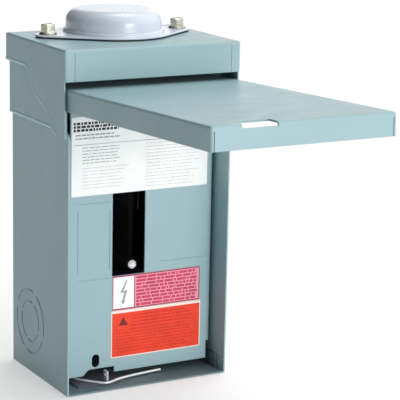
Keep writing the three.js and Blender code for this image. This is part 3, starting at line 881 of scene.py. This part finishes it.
def make_rating_label():
    """White sheet: a dark heading of plain bars, one rule, and rows of grey and of pale small print."""
    low, high, face = label_sheet("rating_label", "label_white", LABEL_WHITE, 1.0)
    top = high.z
    heading = text_rows(low.x + 1.5, low.x + 35, top - 3.6, top - 10.4, 2.3, 1.7, 1.0, 2.2)
    print_marks("rating_label_heading", heading, face, INK, INK_BLACK, "label_white")
    rows = text_rows(low.x + 3, low.x + 37, top - 12, top - 17, 2.3, 0.9, 0.8, 3)
    rows += text_rows(low.x + 8, low.x + 37, top - 21, top - 33, 2.1, 0.5, 0.85, 5)
    rows += [bar(low.x + 2, high.x - 4, top - 19.2, 0.35)]
    print_marks("rating_label_print", rows, face, INK, INK_GREY, "label_white")
    faint = text_rows(low.x + 56, high.x - 6, top - 12, top - 52, 2.3, 0.5, 0.75, 6)
    faint += text_rows(low.x + 8, low.x + 46, top - 35, top - 51, 2.3, 0.45, 0.7, 6)
    print_marks("rating_label_fine_print", faint, face, INK, INK_PALE, "label_white")


def bolt_outline(cx, cz, height):
    """A plain zigzag bolt."""
    shape = [(0.10, 0.50), (-0.16, -0.02), (0.02, 0.02), (-0.06, -0.34), (-0.13, -0.30), (-0.05, -0.50),
             (0.09, -0.33), (0.02, -0.35), (0.16, 0.10), (-0.02, 0.06), (0.16, 0.50)]
    return [(cx + a * height, cz + b * height) for a, b in shape]


def make_danger_label():
    """Pink sheet with crimson rows, dark rules and a white panel that holds a bolt."""
    low, high, face = label_sheet("danger_label", "label_crimson", LABEL_PINK)
    split = low.x + 17.2
    tall = high.z - low.z
    panel = [bar(low.x + 0.7, split - 0.8, low.z + 1.0, tall - 2.0)]
    print_marks("danger_label_panel", panel, face, PATCH, LABEL_WHITE, "label_white")
    bolt = [bolt_outline((low.x + split) / 2, (low.z + high.z) / 2, tall * 0.7)]
    print_marks("danger_label_bolt", bolt, face - PATCH, PATCH, INK_GREY, "label_crimson")
    rows = text_rows(split + 1, high.x - 1.5, high.z - 1.6, low.z + 1.2, 2.45, 1.7, 0.95, 7)
    print_marks("danger_label_print", rows, face, INK, LABEL_CRIMSON, "label_crimson")
    rules = [bar(low.x, high.x, high.z - 0.8, 0.7), bar(low.x, high.x, low.z + 0.1, 0.7),
             bar(split - 0.5, split, low.z + 0.8, tall - 1.6),
             bar(high.x - 0.6, high.x, low.z + 0.8, tall - 1.6)]
    print_marks("danger_label_rules", rules, face, INK + 0.005, INK_PLUM, "label_crimson")


def triangle(cx, cz, size):
    return [(cx - size / 2, cz), (cx + size / 2, cz), (cx, cz + size * 0.86)]


def make_warning_border():
    """The pale edge that shows beside and below the warning label."""
    low, high = node_box("warning_label")
    edge = 0.8
    border = plate_xz("warning_label_border", (low.x - edge, low.z - edge), (high.x + edge, high.z + 0.1),
                      high.y + 0.08, 0.16, edge)
    finish_piece(border, "root", "label_orange", LABEL_PALE)


def make_warning_label():
    """Orange-red block with a pale top strip, a dark triangle and rows of darker print."""
    low, high, face = label_sheet("warning_label", "label_orange", LABEL_ORANGE)
    strip = 2.1
    pale = [bar(low.x, high.x, high.z - strip, strip - 0.1)]
    print_marks("warning_label_strip", pale, face, PATCH, LABEL_PALE, "label_orange")
    mark = [triangle(low.x + 8.5, high.z - 11.2, 7.2)]
    print_marks("warning_label_triangle", mark, face, INK, INK_BROWN, "label_orange")
    rows = text_rows(low.x + 15, high.x - 4, high.z - 4.2, high.z - 13, 2.4, 1.1, 0.85, 6)
    rows += text_rows(low.x + 3, high.x - 3, high.z - 14.2, low.z + 1.5, 2.2, 0.9, 0.85, 6)
    print_marks("warning_label_print", rows, face, INK, INK_RED, "label_orange")


# ---------------------------------------------------------------- floor hardware and inside
def make_seal_wire():
    """The bright wire as one smooth round rod."""
    lift = FLOOR + 3.2
    radius = 0.8
    route = [(-46.5, -61), (-44.8, -68), (-41.6, -74), (-35.6, -81), (-31.4, -85.6), (-28.4, -87.2),
             (-24.6, -86.2), (-19.5, -83.4), (-12.2, -80.8), (2, -78.6), (18.6, -76.6)]
    curve = bpy.data.curves.new("seal_wire_rod", "CURVE")
    curve.dimensions = "3D"
    curve.bevel_depth = radius * MM
    curve.bevel_resolution = 6
    curve.resolution_u = 10
    curve.use_fill_caps = True
    spline = curve.splines.new("NURBS")
    spline.points.add(len(route) - 1)
    spline.order_u = 4
    spline.use_endpoint_u = True
    for point, (x, y) in zip(spline.points, route):
        point.co = (x * MM, y * MM, lift * MM, 1.0)
    rod = bpy.data.objects.new("seal_wire_rod", curve)
    bpy.context.scene.collection.objects.link(rod)
    curve.materials.append(WIRE)
    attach(rod, "seal_wire")
    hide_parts("seal_wire")


def make_front_screw():
    """The round-headed screw that shows at the foot of the breaker opening."""
    low, high = node_box("interior_screw_front")
    radius = (high.x - low.x) / 2
    height = 1.8
    dome = [(0, -8), (1.6, -8), (1.6, 0), (radius, 0), (radius, 0.5)]
    dome += [(radius * math.cos(a), 0.5 + (height - 0.5) * math.sin(a))
             for a in (math.pi / 2 * i / 8 for i in range(1, 8))]
    dome += [(0, height)]
    screw = lathe("interior_front_screw", dome, 48)
    cross = [block("cutter", (-radius, -0.45, height - 0.8), (radius, 0.45, height + 1)),
             block("cutter", (-0.45, -1.6, height - 0.8), (0.45, 1.6, height + 1))]
    boolean(screw, cross)
    centre = Vector(((low.x + high.x) / 2, low.y + height, (low.z + high.z) / 2)) * MM
    transform(screw, Matrix.Translation(centre) @ Matrix.Rotation(math.pi / 2, 4, "X"))
    smooth(screw, 35)
    # The screw's glow is painted light.
    finish_piece(screw, "root", "bright_steel", NICKEL_GLOWING, "interior_screw_front")


def dress_cad_nodes():
    """The CAD nodes that stay: welded, slightly bevelled, and given their materials."""
    finishes = {
        # the floor takes the dark enamel as painted shade
        "bottom_end_wall": (ENAMEL_FLOOR_SHADE, 0.25), "top_end_wall": (ENAMEL, 0.58),
        # the rails take the darker enamel as painted shade
        "dead_front_rail_left": (ENAMEL_SHADED_INSIDE, 0.25), "dead_front_rail_right": (ENAMEL_SHADED_INSIDE, 0.25),
        "hub_gasket": (RUBBER, 0.15), "seal_bracket": (BRACKET_PAINT_SHADED, 0.25), "breaker_hook_rail": (ZINC, 0.2),
        "hinge_pin_left": (ZINC, 0.15), "hinge_pin_right": (ZINC, 0.15), "ground_stand": (ZINC, 0.2),
        "interior_base": (PLASTIC, 0.5), "neutral_stand": (PLASTIC, 0.4),
        "bus_bar_left": (TIN, 0.25), "bus_bar_right": (TIN, 0.25),
        "line_lug_left": (ALUMINIUM, 0.3), "line_lug_right": (ALUMINIUM, 0.3),
        "neutral_bar": (ALUMINIUM, 0.3), "ground_bar": (ALUMINIUM, 0.3),
    }
    for name, node in frame["nodes"].items():
        if "screw" in name:
            material, width = (BRIGHT if "lug" in name or "interior" in name else ZINC), 0.15
        elif name in finishes:
            material, width = finishes[name]
        else:
            continue
        node.data.materials.clear()
        node.data.materials.append(material)
        weld = node.modifiers.new("weld", "WELD")
        weld.merge_threshold = 0.002 * MM
        bevel(node, width, 2, 35)
        normals = node.modifiers.new("normals", "WEIGHTED_NORMAL")
        normals.keep_sharp = True


# ---------------------------------------------------------------- stage
def make_stage():
    """A wide glowing floor, a sky that is dark on the left, and lights in front, overhead and behind."""
    size = 12000
    floor = from_faces("floor", [(-size, -size, FLOOR - 0.5), (size, -size, FLOOR - 0.5),
                                 (size, size, FLOOR - 0.5), (-size, size, FLOOR - 0.5)], [[0, 1, 2, 3]])
    pale = bpy.data.materials.new("floor_pale")
    pale.use_nodes = True
    shader = pale.node_tree.nodes["Principled BSDF"]
    shader.inputs["Base Color"].default_value = (0.55, 0.55, 0.55, 1)
    shader.inputs["Roughness"].default_value = 1.0
    shader.inputs["Specular IOR Level"].default_value = 0.0
    shader.inputs["Emission Color"].default_value = (1, 1, 1, 1)
    shader.inputs["Emission Strength"].default_value = 0.44
    floor.data.materials.append(pale)
    make_sky((0.60, -0.22, 0.77), 0.0, 1.4)
    area_light("front_light", (0.55, -2.7, 0.35), (0.0, 0.0, 0.0), 0.8, 39)
    area_light("top_light", (0.6, 0.3, 2.2), (0.0, -0.1, 0.0), 1.0, 14)
    area_light("back_light", (1.35, 2.4, 0.7), (0.0, -0.1, 0.1), 1.6, 10)


def make_sky(bright_side, dark, bright):
    """A sky whose brightness grows towards one side."""
    world = bpy.data.worlds.new("studio")
    bpy.context.scene.world = world
    world.use_nodes = True
    tree = world.node_tree
    place = tree.nodes.new("ShaderNodeTexCoord")
    towards = tree.nodes.new("ShaderNodeVectorMath")
    towards.operation = "DOT_PRODUCT"
    towards.inputs[1].default_value = bright_side
    tree.links.new(place.outputs["Generated"], towards.inputs[0])
    spread = tree.nodes.new("ShaderNodeMapRange")
    spread.interpolation_type = "SMOOTHSTEP"
    spread.inputs["From Min"].default_value = 0.1
    spread.inputs["From Max"].default_value = 1.0
    spread.inputs["To Min"].default_value = dark
    spread.inputs["To Max"].default_value = bright
    tree.links.new(towards.outputs["Value"], spread.inputs["Value"])
    tree.links.new(spread.outputs["Result"], tree.nodes["Background"].inputs["Strength"])
    tree.nodes["Background"].inputs["Color"].default_value = (1, 1, 1, 1)


def area_light(name, place, target, size, watts):
    data = bpy.data.lights.new(name, "AREA")
    data.size = size
    data.energy = watts
    light = bpy.data.objects.new(name, data)
    light.location = place
    towards = Vector(target) - Vector(place)
    light.rotation_mode = "QUATERNION"
    light.rotation_quaternion = towards.to_track_quat("-Z", "Y")
    bpy.context.scene.collection.objects.link(light)


aim_camera()
make_body()
make_knockout_dimples()
make_hood()
make_cap()
make_cap_screws()
make_door()
make_dead_front()
make_rating_label()
make_danger_label()
make_warning_border()
make_warning_label()
make_seal_wire()
make_front_screw()
dress_cad_nodes()
make_stage()
bpy.context.scene.view_settings.view_transform = "Standard"
